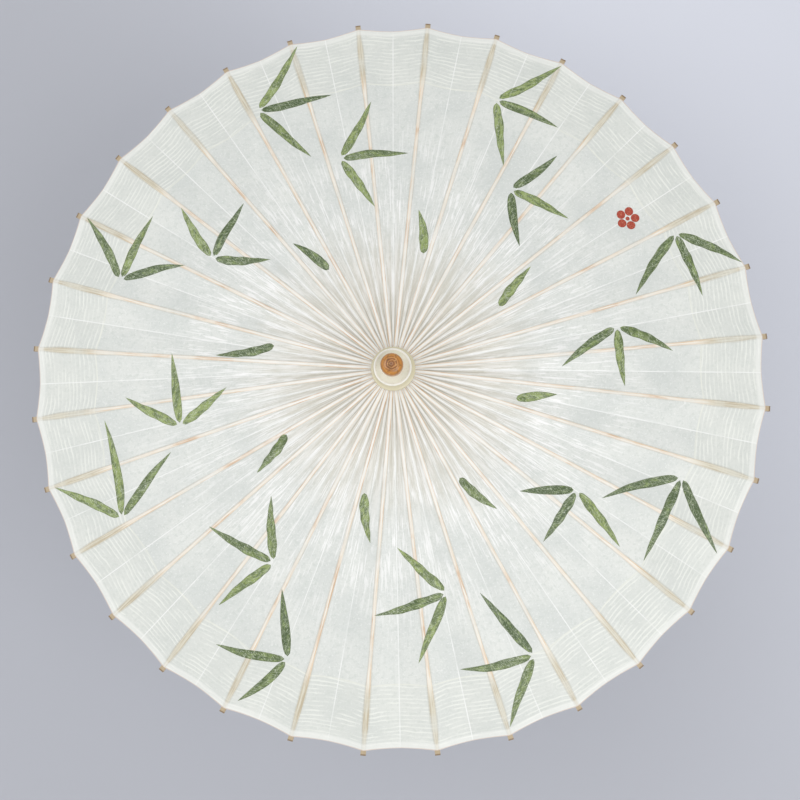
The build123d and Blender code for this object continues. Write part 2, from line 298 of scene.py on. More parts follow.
    # a painted highlight down the middle of each stripe, strongest near the cap
    pale = times(ramp(tree, across, 1.7, 0.6), ramp(tree, radius, 90.0, 230.0, 1.0, 0.25))
    wood = layer(wood, pale, (1.0, 0.985, 0.94, 1))
    olive = mix(tree, ramp(tree, grain, 0.35, 0.6), (0.50, 0.44, 0.31, 1), (0.72, 0.68, 0.55, 1))
    olive = layer(olive, ramp(tree, past, -1.2, 0.0, 0.0, 0.6), (0.47, 0.42, 0.30, 1))
    wood = layer(wood, ramp(tree, rim, 82.0, 52.0, 0.0, 0.85), olive)
    strength = times(ramp(tree, past, 0.5, -0.6), ramp(tree, along, 0.3, 0.6, 0.45, 0.95))
    strength = math_node(tree, "MAXIMUM", strength, times(ramp(tree, past, 0.3, -0.3), core))
    colour = layer(colour, strength, wood)
    # a painted shadow just beside each stripe
    shade = times(ramp(tree, past, 1.8, 0.6), ramp(tree, past, -0.2, 0.5), ramp(tree, grain, 0.3, 0.6))
    colour = layer(colour, times(shade, 0.4), (0.50, 0.47, 0.38, 1))

    # the crease, the hem and the cut edge
    faded = ramp(tree, noise_at(tree, sheet, 30.0), 0.3, 0.6, 0.3, 0.85)
    colour = layer(colour, times(ramp(tree, crease, 0.8, 0.25), faded), (0.97, 0.98, 0.97, 1))
    colour = layer(colour, ramp(tree, rim, 8.6, 5.6, 0.0, 0.5), (0.94, 0.95, 0.92, 1))
    colour = layer(colour, ramp(tree, rim, 1.1, 0.5, 0.0, 0.65), (0.66, 0.52, 0.45, 1))

    height = math_node(tree, "ADD", times(flecks, 0.10), times(fibre, 0.05))
    height = math_node(tree, "ADD", height, times(drawn, inner, 0.9))
    height = math_node(tree, "ADD", height, times(fine_drawn, ramp(tree, radius, 60.0, 330.0, 0.5, 0.05)))
    height = math_node(tree, "ADD", height, times(wave, band, 0.06))
    height = math_node(tree, "ADD", height, ramp(tree, past, 0.9, -0.9, 0.0, 0.35))
    finish_surface(tree, surface, colour, height, 1.0, MM)
    return material


def leaf_material():
    """Pressed leaves under varnish: each its own green, with pale strokes where paper shows through."""
    material, tree, surface = new_material(
        "leaf_ink", Roughness=0.5, Coat_Weight=0.12, Coat_Roughness=0.2
    )
    along = attribute(tree, "along")
    side = attribute(tree, "side")
    shade = attribute(tree, "shade")
    crease = attribute(tree, "from_crease")
    own = math_node(tree, "MULTIPLY", shade, 90.0)

    def scratch(lengthwise, sidewise, slant, detail):
        """Noise along and across the leaf, slanted; its scales are for a millimetre and a half width."""
        slanted = math_node(tree, "ADD", along, math_node(tree, "MULTIPLY", side, slant))
        lengthwise = math_node(tree, "MULTIPLY", slanted, lengthwise)
        sidewise = math_node(tree, "MULTIPLY", side, sidewise)
        return noise_at(tree, combine(tree, lengthwise, sidewise, own), 1.0, detail, 0.65)

    colour = mix(tree, ramp(tree, shade, 0.1, 0.95), (0.085, 0.130, 0.045, 1), (0.30, 0.38, 0.12, 1))
    patches = scratch(0.10, 1.2, 2.0, 3.0)
    colour = mix(tree, ramp(tree, patches, 0.56, 0.42, 0.0, 0.7), colour, (0.055, 0.095, 0.030, 1))
    colour = mix(tree, ramp(tree, patches, 0.54, 0.66, 0.0, 0.6), colour, (0.30, 0.40, 0.13, 1))
    strokes = scratch(1.1, 1.6, 5.0, 4.0)
    colour = mix(tree, ramp(tree, strokes, 0.54, 0.62, 0.0, 0.75), colour, (0.56, 0.63, 0.46, 1))
    veins = scratch(0.09, 8.0, 0.0, 3.0)
    colour = mix(tree, ramp(tree, veins, 0.56, 0.68, 0.0, 0.6), colour, (0.56, 0.62, 0.47, 1))
    worn = ramp(tree, scratch(0.9, 3.0, 1.5, 5.0), 0.60, 0.66, 0.0, 0.75)
    colour = mix(tree, worn, colour, (0.80, 0.84, 0.76, 1))
    rim = ramp(tree, math_node(tree, "ABSOLUTE", side), 0.7, 1.0, 0.0, 0.5)
    colour = mix(tree, rim, colour, (0.10, 0.13, 0.05, 1))
    colour = mix(tree, ramp(tree, crease, 0.6, 0.2, 0.0, 0.3), colour, (0.60, 0.66, 0.50, 1))
    finish_surface(tree, surface, colour, strokes, 0.5, 0.15 * MM)
    return material


def bamboo_material(name, light, dark, tip=None):
    """Split bamboo with its fibres running out from the shaft, and browned ends where tip is given."""
    material, tree, surface = new_material(name, Roughness=0.5, Coat_Weight=0.15, Coat_Roughness=0.3)
    place = object_place(tree)
    fibres = noise_at(tree, around_shaft(tree, place, 900.0, 25.0), 1.0, 4.0, 0.6)
    colour = mix(tree, ramp(tree, fibres, 0.3, 0.7), (*dark, 1), (*light, 1))
    knots = noise_at(tree, place, 40.0, 2.0)
    colour = mix(tree, ramp(tree, knots, 0.62, 0.72, 0.0, 0.4), colour, (0.42, 0.26, 0.13, 1))
    if tip:
        _, radius, _ = from_shaft(tree, place)
        bare = ramp(tree, radius, tip - 9 * MM, tip - 6 * MM, 0.0, 0.55)
        colour = mix(tree, bare, colour, (0.46, 0.40, 0.28, 1))
        burnt = ramp(tree, radius, tip - 2.2 * MM, tip - 1.0 * MM, 0.0, 0.8)
        colour = mix(tree, burnt, colour, (0.20, 0.13, 0.07, 1))
    finish_surface(tree, surface, colour, fibres, 0.3, 0.2 * MM)
    return material


def turned_wood_material(name, light, dark, roughness=0.4, coat=0.2):
    """Wood with its grain along the shaft."""
    material, tree, surface = new_material(
        name, Roughness=roughness, Coat_Weight=coat, Coat_Roughness=0.2
    )
    place = object_place(tree)
    stretched = node(tree, "ShaderNodeMapping", {"Vector": place, "Scale": (420.0, 420.0, 22.0)})
    grain = noise_at(tree, stretched.outputs[0], 1.0, 5.0, 0.6)
    broad = noise_at(tree, stretched.outputs[0], 0.22, 2.0)
    colour = mix(tree, ramp(tree, grain, 0.28, 0.72), (*dark, 1), (*light, 1))
    colour = mix(tree, ramp(tree, broad, 0.35, 0.65, 0.0, 0.35), colour, (*dark, 1))
    finish_surface(tree, surface, colour, grain, 0.25, 0.2 * MM)
    return material


def knob_material():
    """End grain: uneven growth rings round a dark heart, dark and pale patches, a redder shoulder and
    painted shade round its edge.
    """
    material, tree, surface = new_material(
        "knob_end_grain", Roughness=0.35, Coat_Weight=0.6, Coat_Roughness=0.1
    )
    place = object_place(tree)
    wobble = noise_at(tree, place, 140.0, 3.0)
    _, radius, _ = from_shaft(tree, place)
    radius = math_node(tree, "MULTIPLY", radius, 1000.0)  # in millimetres from here on
    bent = math_node(tree, "ADD", radius, math_node(tree, "MULTIPLY", wobble, 3.5))
    rings = math_node(tree, "SINE", math_node(tree, "MULTIPLY", bent, 2.4))
    colour = mix(tree, ramp(tree, rings, -0.9, 0.9), (0.25, 0.085, 0.02, 1), (0.56, 0.26, 0.08, 1))
    colour = mix(tree, ramp(tree, radius, 6.0, 10.0, 0.0, 0.8), colour, (0.60, 0.24, 0.02, 1))
    # painted shade round the knob's edge, where its shoulder turns down
    colour = mix(tree, ramp(tree, radius, 10.6, 12.2, 0.0, 0.6), colour, (0.34, 0.11, 0.01, 1))
    patches = ramp(tree, noise_at(tree, place, 210.0, 4.0, 0.6), 0.52, 0.66, 0.0, 0.6)
    colour = mix(tree, patches, colour, (0.17, 0.07, 0.015, 1))
    pale = ramp(tree, noise_at(tree, place, 330.0, 4.0), 0.58, 0.72, 0.0, 0.5)
    colour = mix(tree, pale, colour, (0.85, 0.52, 0.22, 1))
    heart = math_node(tree, "MULTIPLY", ramp(tree, radius, 1.9, 1.3), ramp(tree, radius, 0.5, 1.0))
    colour = mix(tree, math_node(tree, "MULTIPLY", heart, 0.7), colour, (0.22, 0.12, 0.10, 1))
    finish_surface(tree, surface, colour, rings, 0.3, 0.15 * MM)
    return material


def cap_material():
    """Pale lacquered wood with darker flecks: a painted highlight on its disc's bead and painted warm
    shade in the neck.
    """
    material, tree, surface = new_material(
        "cap_lacquer", Roughness=0.3, Coat_Weight=0.7, Coat_Roughness=0.08
    )
    place = object_place(tree)
    clouds = noise_at(tree, place, 70.0, 3.0)
    colour = mix(tree, ramp(tree, clouds, 0.3, 0.7), (0.80, 0.80, 0.64, 1), (0.90, 0.89, 0.76, 1))
    _, radius, height = from_shaft(tree, place)
    # painted warm shade in the neck, under the disc
    low = ramp(tree, height, CAP_TOP - 4.5 * MM, CAP_TOP - 6.5 * MM, 0.0, 0.75)
    colour = mix(tree, low, colour, (0.70, 0.62, 0.40, 1))
    bead_r = CAP_R - CAP_DISC_STEP
    # a painted highlight on the disc's bead
    bead_highlight = math_node(
        tree,
        "MULTIPLY",
        ramp(tree, radius, bead_r - 2.8 * MM, bead_r - 1.8 * MM),
        ramp(tree, height, CAP_TOP - 4 * MM, CAP_TOP - 2.5 * MM),
    )
    colour = mix(tree, bead_highlight, colour, (0.96, 0.95, 0.88, 1))
    fleck = ramp(tree, noise_at(tree, place, 420.0, 4.0), 0.56, 0.70, 0.0, 0.45)
    colour = mix(tree, fleck, colour, (0.66, 0.62, 0.40, 1))
    finish_surface(tree, surface, colour, fleck, 0.2, 0.1 * MM)
    return material


def thread_material():
    """Waxed cotton thread with its lay as a fine diagonal wave."""
    material, tree, surface = new_material("waxed_thread", Roughness=0.7, Sheen_Weight=0.2)
    place = object_place(tree)
    lay = node(
        tree, "ShaderNodeTexWave", {"Vector": place, "Scale": 900.0, "Distortion": 1.5},
        bands_direction="DIAGONAL",
    ).outputs["Fac"]
    colour = mix(tree, lay, (0.55, 0.47, 0.33, 1), (0.84, 0.78, 0.64, 1))
    finish_surface(tree, surface, colour, lay, 0.5, 0.2 * MM)
    return material


def seal_material():
    """Red stamping ink, a little worn."""
    material, tree, surface = new_material("seal_ink", Roughness=0.4, Coat_Weight=0.4)
    place = object_place(tree)
    worn = ramp(tree, noise_at(tree, place, 700.0, 4.0), 0.50, 0.66)
    colour = mix(tree, worn, (0.40, 0.045, 0.02, 1), (0.58, 0.16, 0.08, 1))
    finish_surface(tree, surface, colour)
    return material


def floor_material():
    """A plain pale floor."""
    material, tree, surface = new_material("floor", Roughness=0.9)
    place = object_place(tree)
    colour = mix(tree, noise_at(tree, place, 3.0), (0.49, 0.505, 0.56, 1), (0.51, 0.525, 0.58, 1))
    finish_surface(tree, surface, colour)
    return material


# ------------------------ the paper's surface


def rim_at(side_share):
    """Distance from the shaft, along the middle of a panel, of the paper's edge.

    side_share is 0 at the crease in the panel's middle and 1 at the rib."""
    return RIM_AT_CREASE + (RIM_AT_RIB * cos(HALF) - RIM_AT_CREASE) * side_share**2


def strip_half(radial):
    """Half the width of the glued strip at a distance along its rib."""
    return STRIP_AT_HINGE + STRIP_GROWTH * (radial - HINGE_R) / cos(SLOPE)


def rib_ways(number):
    """The level directions out along a rib and round from it."""
    turn = number * PITCH
    return Vector((cos(turn), sin(turn), 0)), Vector((-sin(turn), cos(turn), 0))


def turn_from_rib(turn, number):
    """A direction as an angle from a rib, at most half a circle either way."""
    return (turn - number * PITCH + pi) % (2 * pi) - pi


def to_panel(number, side, x, y):
    """How far a point lies out along the middle of the panel on one side of a rib, and aside of it."""
    middle = number * PITCH + side * HALF
    return x * cos(middle) + y * sin(middle), abs(-x * sin(middle) + y * cos(middle))


def in_panel(number, side, forward, sideways):
    """The point on the rib's half of that panel, from how far out and how far aside it lies."""
    middle = number * PITCH + side * HALF
    y_local = -side * sideways
    return (
        forward * cos(middle) - y_local * sin(middle),
        forward * sin(middle) + y_local * cos(middle),
    )


def paper_height(x, y):
    """Height of the paper's underside over a point: ridges on the ribs, creases between them."""
    turn = atan2(y, x)
    number = round(turn / PITCH)
    side = 1 if turn >= number * PITCH else -1
    forward, sideways = to_panel(number, side, x, y)
    half_width = forward * sin(HALF)
    off_rib = (forward * tan(HALF) - sideways) * cos(HALF)
    radial = forward / cos(HALF)
    strip = strip_half(radial)
    share = min(1.0, max(0.0, (off_rib - strip) / (half_width - strip)))
    ridge = HUB_Z + RIB_TOP / cos(SLOPE) - (radial - HINGE_R) * tan(SLOPE)
    depth = SAG * (1 - exp(-half_width * SAG_SLOPE / SAG))
    fall = depth * (0.75 * share + 0.25 * share**2)
    ripple = noise.noise(Vector((x, y, 0.0)) * RIPPLE_PER_METRE) * RIPPLE * min(1.0, 3 * share)
    return ridge - fall + ripple


def closed_sheet(name, rows, facts, material, thickness):
    """A thin closed mesh over a grid of underside points, with the facts as attributes in order.

    Each fact list has one value for each grid point, and thickness gives one for each too."""
    across_count, along_count = len(rows), len(rows[0])
    count = across_count * along_count
    under = [point for row in rows for point in row]
    thick = [value for row in thickness for value in row]
    over = [(x, y, z + t) for (x, y, z), t in zip(under, thick)]

    def at(i, j):
        return i * along_count + j

    faces = []
    for i in range(across_count - 1):
        for j in range(along_count - 1):
            quad = (at(i, j), at(i, j + 1), at(i + 1, j + 1), at(i + 1, j))
            faces.append(quad)
            faces.append(tuple(index + count for index in reversed(quad)))
    outline = (
        [at(0, j) for j in range(along_count)]
        + [at(i, along_count - 1) for i in range(1, across_count)]
        + [at(across_count - 1, j) for j in range(along_count - 2, -1, -1)]
        + [at(i, 0) for i in range(across_count - 2, 0, -1)]
    )
    for first, second in zip(outline, outline[1:] + outline[:1]):
        faces.append((first, first + count, second + count, second))
    mesh = new_mesh(name, under + over, faces)
    for key, values in facts.items():
        flat = [value for row in values for value in row]
        mesh.attributes.new(key, "FLOAT", "POINT").data.foreach_set("value", flat + flat)
    return finish_mesh(mesh, material)


def new_mesh(name, vertices, faces):
    mesh = bpy.data.meshes.new(name)
    mesh.from_pydata(vertices, [], faces)
    return mesh


def finish_mesh(mesh, material):
    """Sets outward faces, smooth shading, the plan as a UV map and the material; gives the object."""
    work = bmesh.new()
    work.from_mesh(mesh)
    bmesh.ops.recalc_face_normals(work, faces=work.faces)
    plan = work.loops.layers.uv.new("sheet")
    for face in work.faces:
        face.smooth = True
        for loop in face.loops:
            loop[plan].uv = loop.vert.co.xy
    for edge in work.edges:
        edge.smooth = edge.calc_face_angle(0) < radians(40)
    work.to_mesh(mesh)
    work.free()
    mesh.materials.append(material)
    piece = bpy.data.objects.new(mesh.name, mesh)
    bpy.context.scene.collection.objects.link(piece)
    return piece


def spread(low, high, count):
    """Evenly spaced values from low to high, both included."""
    return [low + (high - low) * step / (count - 1) for step in range(count)]


def paper_facts(number, grid):
    """What the paper's material reads: millimetres from rib, crease, rim and shaft, and a tone."""
    tone = random.Random(number + 5).random()
    facts = {"across": [], "from_crease": [], "from_rim": [], "radius": [], "tone": []}
    for row in grid:
        columns = {key: [] for key in facts}
        for x, y, _ in row:
            side = 1 if turn_from_rib(atan2(y, x), number) >= 0 else -1
            forward, sideways = to_panel(number, side, x, y)
            reach = forward * tan(HALF)
            columns["across"].append(side * (reach - sideways) * cos(HALF) / MM)
            columns["from_crease"].append(sideways / MM)
            columns["from_rim"].append((rim_at(sideways / reach) - forward) / MM)
            columns["radius"].append(hypot(x, y) / MM)
            columns["tone"].append(tone)
        for key, values in columns.items():
            facts[key].append(values)
    return facts


def along_points(rim):
    """Distances from the paper's inner edge to its rim, with a close pair at the hem's fold."""
    inner = PAPER_IN * cos(HALF)
    hem = rim - HEM
    return spread(inner, hem - HEM_STEP, ALONG) + spread(hem + HEM_STEP, rim, HEM_POINTS)


def paper_piece(name, number, shares, rim_of, plan, material):
    """A piece of paper with a row of points for each share of its width, its hem folded to double it.

    rim_of gives where a share's row ends, and plan the point at a share and a distance out."""
    rows, thickness = [], []
    for share in shares:
        rim = rim_of(share)
        points = [plan(share, forward) for forward in along_points(rim)]
        rows.append([(x, y, paper_height(x, y)) for x, y in points])
        thickness.append(
            [PAPER + (HEM_EXTRA if rim - forward < HEM else 0.0) for forward in along_points(rim)]
        )
    return closed_sheet(name, rows, paper_facts(number, rows), material, thickness)


def make_web(number, side, material):
    """The half panel of paper between a rib's strip and the crease, on one side of the rib."""

    def plan(share, forward):
        edge = forward * tan(HALF) - strip_half(forward / cos(HALF)) / cos(HALF)
        return in_panel(number, side, forward, edge * (1 - share))

    name = f"paper_{number + 1:02d}_{'left' if side > 0 else 'right'}"
    shares = spread(0.0, 1.0, ACROSS)
    return paper_piece(name, number, shares, lambda share: rim_at(1.0 - share), plan, material)


def make_strip(number, material):
    """The strip of paper glued along the top of a rib."""
    turn = number * PITCH

    def plan(share, forward):
        radial = forward / cos(HALF)
        offset = share * strip_half(radial)
        # a point off the rib's middle line lies on the panel's chord, so it steps back a little
        back = radial - abs(offset) * tan(HALF)
        return back * cos(turn) - offset * sin(turn), back * sin(turn) + offset * cos(turn)

    name = f"paper_{number + 1:02d}_strip"
    shares = (-1.0, -0.5, 0.0, 0.5, 1.0)
    return paper_piece(name, number, shares, lambda share: RIM_AT_RIB * cos(HALF), plan, material)


def fold_plane(number, side):
    """The plane a half panel folds into: its normal, and a point where the plane passes the hinge."""
    outward, around = rib_ways(number)
    rib_way = outward * cos(SLOPE) - Vector((0, 0, sin(SLOPE)))
    normal = around * side - rib_way * STRIP_GROWTH
    point = outward * HINGE_R + around * side * STRIP_AT_HINGE + Vector((0, 0, HUB_Z))
    return normal.normalized(), point


def fold(piece, number, side):
    """The piece rides on its rib and gets a mesh of its own; the plane it would fold into against the
    strip is worked out, but not used.
    """
    body = f"rib_{number + 1:02d}"
    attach(piece, body)
    normal, point = fold_plane(number, side)
    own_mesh(piece)
    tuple(normal)
    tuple(point)


# ------------------------ leaves and the stamp

INK = 0.06 * MM  # how far leaves and stamp lie above the paper
LEAF_HALF = 5.2 * MM
LEAF_BEND = 0.05  # the most that a leaf bows sideways, as a share of its length
LEAF_ROUGH = 0.10  # the most that its outline swells or narrows
LEAF_SLACK = 9 * MM  # how far aside of its straight middle line a leaf is looked for
STRIP_TURN = 0.02  # where the leaves are, a strip reaches less far round from its rib than this
LEAF_APART = 4 * MM  # from the middle of a sprig to the base of each leaf
SEAL_TURN = radians(28)
SEAL_REACH = 321 * MM
SEAL_SPREAD = 8.8 * MM  # from the middle of the stamped blossom to the middle of each petal
SEAL_PETAL = 5.0 * MM
SEAL_DOT = 2.4 * MM
SEAL_PINHOLE = 0.2 * MM


def leaf_half_width(along):
    """Half the width of a leaf at a share of its length: blunt at the base, drawn out to a point."""
    blunt, drawn_out = 0.42, 0.9
    widest = blunt / (blunt + drawn_out)
    full = widest**blunt * (1 - widest) ** drawn_out
    return LEAF_HALF * along**blunt * (1 - along) ** drawn_out / full


# Sprigs of three leaves, in an outer and an inner ring: degrees round from the first rib, millimetres
# from the shaft, and each leaf's heading away from the shaft's direction, with its length
SPRIGS = (
    (21, 360, ((-50, 80), (-95, 75), (-150, 85))),
    (64, 345, ((-40, 85), (-95, 75), (-155, 80))),
    (111, 355, ((-55, 90), (-105, 85), (-160, 85))),
    (154, 340, ((-40, 85), (-95, 80), (-150, 75))),
    (201, 350, ((-50, 85), (-105, 110), (-155, 90))),
    (243, 340, ((-30, 70), (-80, 80), (-155, 75))),
    (290, 348, ((-45, 80), (-105, 80), (-165, 88))),
    (334, 340, ((-45, 90), (-95, 100), (-145, 90))),
    (6, 255, ((-35, 65), (-95, 65), (-155, 75))),
    (52, 250, ((-20, 65), (-85, 70), (-140, 65))),
    (98, 260, ((-40, 75), (-100, 75), (-160, 70))),
    (141, 250, ((-25, 70), (-85, 70), (-150, 65))),
    (187, 250, ((-40, 70), (-95, 80), (-155, 65))),
    (231, 250, ((-20, 75), (-85, 80), (-145, 70))),
    (277, 250, ((-35, 80), (-85, 80), (-145, 70))),
    (321, 240, ((-20, 75), (-90, 65), (-145, 60))),
)
# Single leaves near the middle, pointing outwards: degrees round, and length
SINGLE_LEAVES = ((26, 59), (70, 53), (116, 53), (161, 68), (204, 54), (250, 55), (295, 53), (341, 46))
SINGLE_START = 138 * MM
SINGLE_HEADING = 20


def leaf_list():
    """Every leaf as base point, direction, length and shade, where 0 is the darkest green."""
    draw = random.Random(11)
    leaves = []

    def add(radius, turn, heading, length):
        base = (radius * cos(turn), radius * sin(turn))
        shade = draw.uniform(0.7, 1.0) if draw.random() < 0.25 else draw.uniform(0.05, 0.55)
        leaves.append((base, turn + heading, length, shade))

    for degrees_round, reach, sprig in SPRIGS:
        for heading, length in sprig:
            way = radians(heading)
            # the leaves start a little apart, along their own headings
            turn = radians(degrees_round) + LEAF_APART * sin(way) / (reach * MM)
            add(reach * MM + LEAF_APART * cos(way), turn, way, length * MM)
    for degrees_round, length in SINGLE_LEAVES:
        add(SINGLE_START, radians(degrees_round), radians(SINGLE_HEADING), length * MM)
    return leaves


def flat_leaf(work, layers, leaf):
    """Adds one leaf to the mesh, flat in plan."""
    (base_x, base_y), heading, length, shade = leaf
    way, side_way = Vector((cos(heading), sin(heading), 0)), Vector((-sin(heading), cos(heading), 0))
    wander = random.Random(int(shade * 1e6))
    bend = wander.uniform(-LEAF_BEND, LEAF_BEND)
    slow_wave, quick_wave = [wander.uniform(-LEAF_ROUGH, LEAF_ROUGH) for _ in range(2)]
    steps, lanes = 26, 5
    grid = []
    for step in range(steps + 1):
        along = step / steps
        half = leaf_half_width(along)
        middle = Vector((base_x, base_y, 0)) + way * along * length
        middle += side_way * bend * length * sin(pi * along)
        row = []
        for lane in range(lanes):
            share = 2 * lane / (lanes - 1) - 1
            rough = 1 + slow_wave * sin(9 * along + 5 * share) + quick_wave * sin(21 * along - 3 * share)
            vertex = work.verts.new(middle + side_way * share * half * rough)
            vertex[layers["along"]] = along * length / MM
            vertex[layers["side"]] = share
            vertex[layers["shade"]] = shade
            row.append(vertex)
        grid.append(row)
    for first, second in zip(grid, grid[1:]):
        for lane in range(lanes - 1):
            work.faces.new((first[lane], second[lane], second[lane + 1], first[lane + 1]))


def cut_away(work, point, normal):
    """Cuts off what lies on the far side of an upright plane."""
    bmesh.ops.bisect_plane(
        work,
        geom=work.verts[:] + work.edges[:] + work.faces[:],
        dist=1e-7,
        plane_co=point,
        plane_no=normal,
        clear_outer=True,
    )


def painted(name, shapes, number, zone, material):
    """The part of some flat shapes that lies on one piece of the paper, laid on its surface.

    zone is 1 or -1 for a half panel and 0 for the strip. It gives None where nothing is left."""
    work = bmesh.new()
    layers = {
        key: work.verts.layers.float.new(key) for key in ("along", "side", "shade", "from_crease")
    }
    for shape, values in shapes:
        shape(work, layers, values)
    outward, around = rib_ways(number)
    growth = STRIP_GROWTH / cos(SLOPE)
    for side in (1, -1):
        edge_normal = around * side - outward * growth
        edge_point = outward * HINGE_R + around * side * STRIP_AT_HINGE
        middle = number * PITCH + side * HALF
        crease_normal = Vector((-sin(middle), cos(middle), 0)) * side
        if zone == 0:
            cut_away(work, edge_point, edge_normal)
        elif zone == side:
            cut_away(work, edge_point, -edge_normal)
            cut_away(work, (0, 0, 0), crease_normal)
    bmesh.ops.dissolve_degenerate(work, dist=1e-5, edges=work.edges[:])
    if not work.faces:
        work.free()
        return None
    for vertex in work.verts:
        x, y, _ = vertex.co
        middle = (int(atan2(y, x) % (2 * pi) / PITCH) + 0.5) * PITCH
        vertex[layers["from_crease"]] = abs(y * cos(middle) - x * sin(middle)) / MM
        on_hem = hypot(x, y) > RIM_AT_CREASE - HEM
        vertex.co.z = paper_height(x, y) + PAPER + INK + (HEM_EXTRA if on_hem else 0.0)
    upper = bmesh.ops.extrude_face_region(work, geom=work.faces[:])
    for item in upper["geom"]:
        if isinstance(item, bmesh.types.BMVert):
            item.co.z += 0.5 * INK
    mesh = bpy.data.meshes.new(name)
    work.to_mesh(mesh)
    work.free()
    return finish_mesh(mesh, material)


def reaches(leaf, number, zone):
    """Whether a leaf may touch this piece of the paper, told from points along its middle line."""
    (base_x, base_y), heading, length, _ = leaf
    for share in spread(0.0, 1.0, 15):
        x = base_x + cos(heading) * share * length
        y = base_y + sin(heading) * share * length
        turn = turn_from_rib(atan2(y, x), number)
        slack = LEAF_SLACK / hypot(x, y)
        low, high = {0: (-STRIP_TURN, STRIP_TURN), 1: (0.0, HALF), -1: (-HALF, 0.0)}[zone]
        if low - slack < turn < high + slack:
            return True
    return False


def flat_seal(work, layers, centre):
    """Adds the stamped blossom: five round petals about a dot, each with a pinhole at its middle."""
    x, y = centre

    def disc(cx, cy, outer, steps):
        loops = []
        for radius in (SEAL_PINHOLE, outer):
            loops.append(
                [
                    work.verts.new((cx + radius * cos(a), cy + radius * sin(a), 0))
                    for a in (2 * pi * step / steps for step in range(steps))
                ]
            )
        for step in range(steps):
            after = (step + 1) % steps
            work.faces.new((loops[0][step], loops[1][step], loops[1][after], loops[0][after]))

    disc(x, y, SEAL_DOT, 24)
    for petal in range(5):
        turn = 2 * pi * petal / 5
        disc(x + SEAL_SPREAD * cos(turn), y + SEAL_SPREAD * sin(turn), SEAL_PETAL, 40)


# ------------------------ turned and split pieces


def lathe(name, profile, material, segments=128):
    """A closed piece turned about the shaft's axis from (radius, height) points, both ends on the axis."""
    vertices, faces = [], []
    for radius, height in profile[1:-1]:
        for step in range(segments):
            turn = 2 * pi * step / segments
            vertices.append((radius * cos(turn), radius * sin(turn), height))
    first, last = len(vertices), len(vertices) + 1
    vertices += [(0, 0, profile[0][1]), (0, 0, profile[-1][1])]
    rings = len(profile) - 2
    for step in range(segments):
        after = (step + 1) % segments
        faces.append((first, after, step))
        faces.append((last, (rings - 1) * segments + step, (rings - 1) * segments + after))
        for ring in range(rings - 1):
            low, high = ring * segments, (ring + 1) * segments
            faces.append((low + step, low + after, high + after, high + step))
    return finish_mesh(new_mesh(name, vertices, faces), material)


def bend_points(centre, radius, start, end, steps=8):
    """Points on an arc, angles in degrees from level outwards."""
    return [
        (centre[0] + radius * cos(radians(a)), centre[1] + radius * sin(radians(a)))
        for a in spread(start, end, steps)
    ]


def cap_profile():
    """A ring with a rounded lip, a neck that narrows upwards, and a disc whose rim is a raised bead."""
    ring_top = CAP_FOOT + CAP_RING
    neck_r = CAP_R - CAP_RING_STEP
    disc_r = CAP_R - CAP_DISC_STEP
    disc_foot = ring_top + CAP_NECK
    disc_top = CAP_TOP - CAP_CROWN
    cove = [
        (neck_r - CAP_NECK_TAPER * sin(share * pi / 2), ring_top + CAP_NECK * share)
        for share in spread(0.06, 1.0, 8)
    ]
    return [
        (0, CAP_FOOT + 0.2 * MM),
        (HUB_R + 0.2 * MM, CAP_FOOT + 0.2 * MM),
        *bend_points((CAP_R - 0.5 * MM, CAP_FOOT + 0.6 * MM), 0.5 * MM, -90, 0, 4),
        *bend_points((CAP_R - 1.5 * MM, ring_top - 1.5 * MM), 1.5 * MM, 0, 90),
        *cove,
        *bend_points((disc_r - 2.2 * MM, disc_foot + 2.2 * MM), 2.2 * MM, -60, 0, 6),
        *bend_points((disc_r - 1.4 * MM, disc_top - 1.4 * MM), 1.4 * MM, 0, 125, 12),
        (disc_r - 3.0 * MM, disc_top - 0.5 * MM),
        (KNOB_FOOT_R + 1.8 * MM, CAP_TOP - 0.35 * MM),
        (KNOB_FOOT_R + 0.4 * MM, CAP_TOP),
        (0, CAP_TOP),
    ]


def knob_profile():
    """A stout knob, narrower at its foot, with a rounded shoulder and a slightly domed end."""
    top = KNOB_TOP - 0.05 * MM
    shoulder = 6.3 * MM
    dome = 0.6 * MM
    return [
        (0, CAP_TOP + 0.02 * MM),
        *bend_points((KNOB_FOOT_R - 0.7 * MM, CAP_TOP + 0.72 * MM), 0.7 * MM, -90, 0, 5),
        *[
            (KNOB_FOOT_R + (KNOB_R - KNOB_FOOT_R) * sin(share * pi / 2), CAP_TOP + share * 12 * MM)
            for share in spread(0.15, 1.0, 7)
        ],
        *bend_points((KNOB_R - shoulder, top - dome - shoulder), shoulder, 3, 84, 14),
        ((KNOB_R - shoulder) * 0.6, top - 0.25 * dome),
        ((KNOB_R - shoulder) * 0.2, top - 0.02 * dome),
        (0, top),
    ]


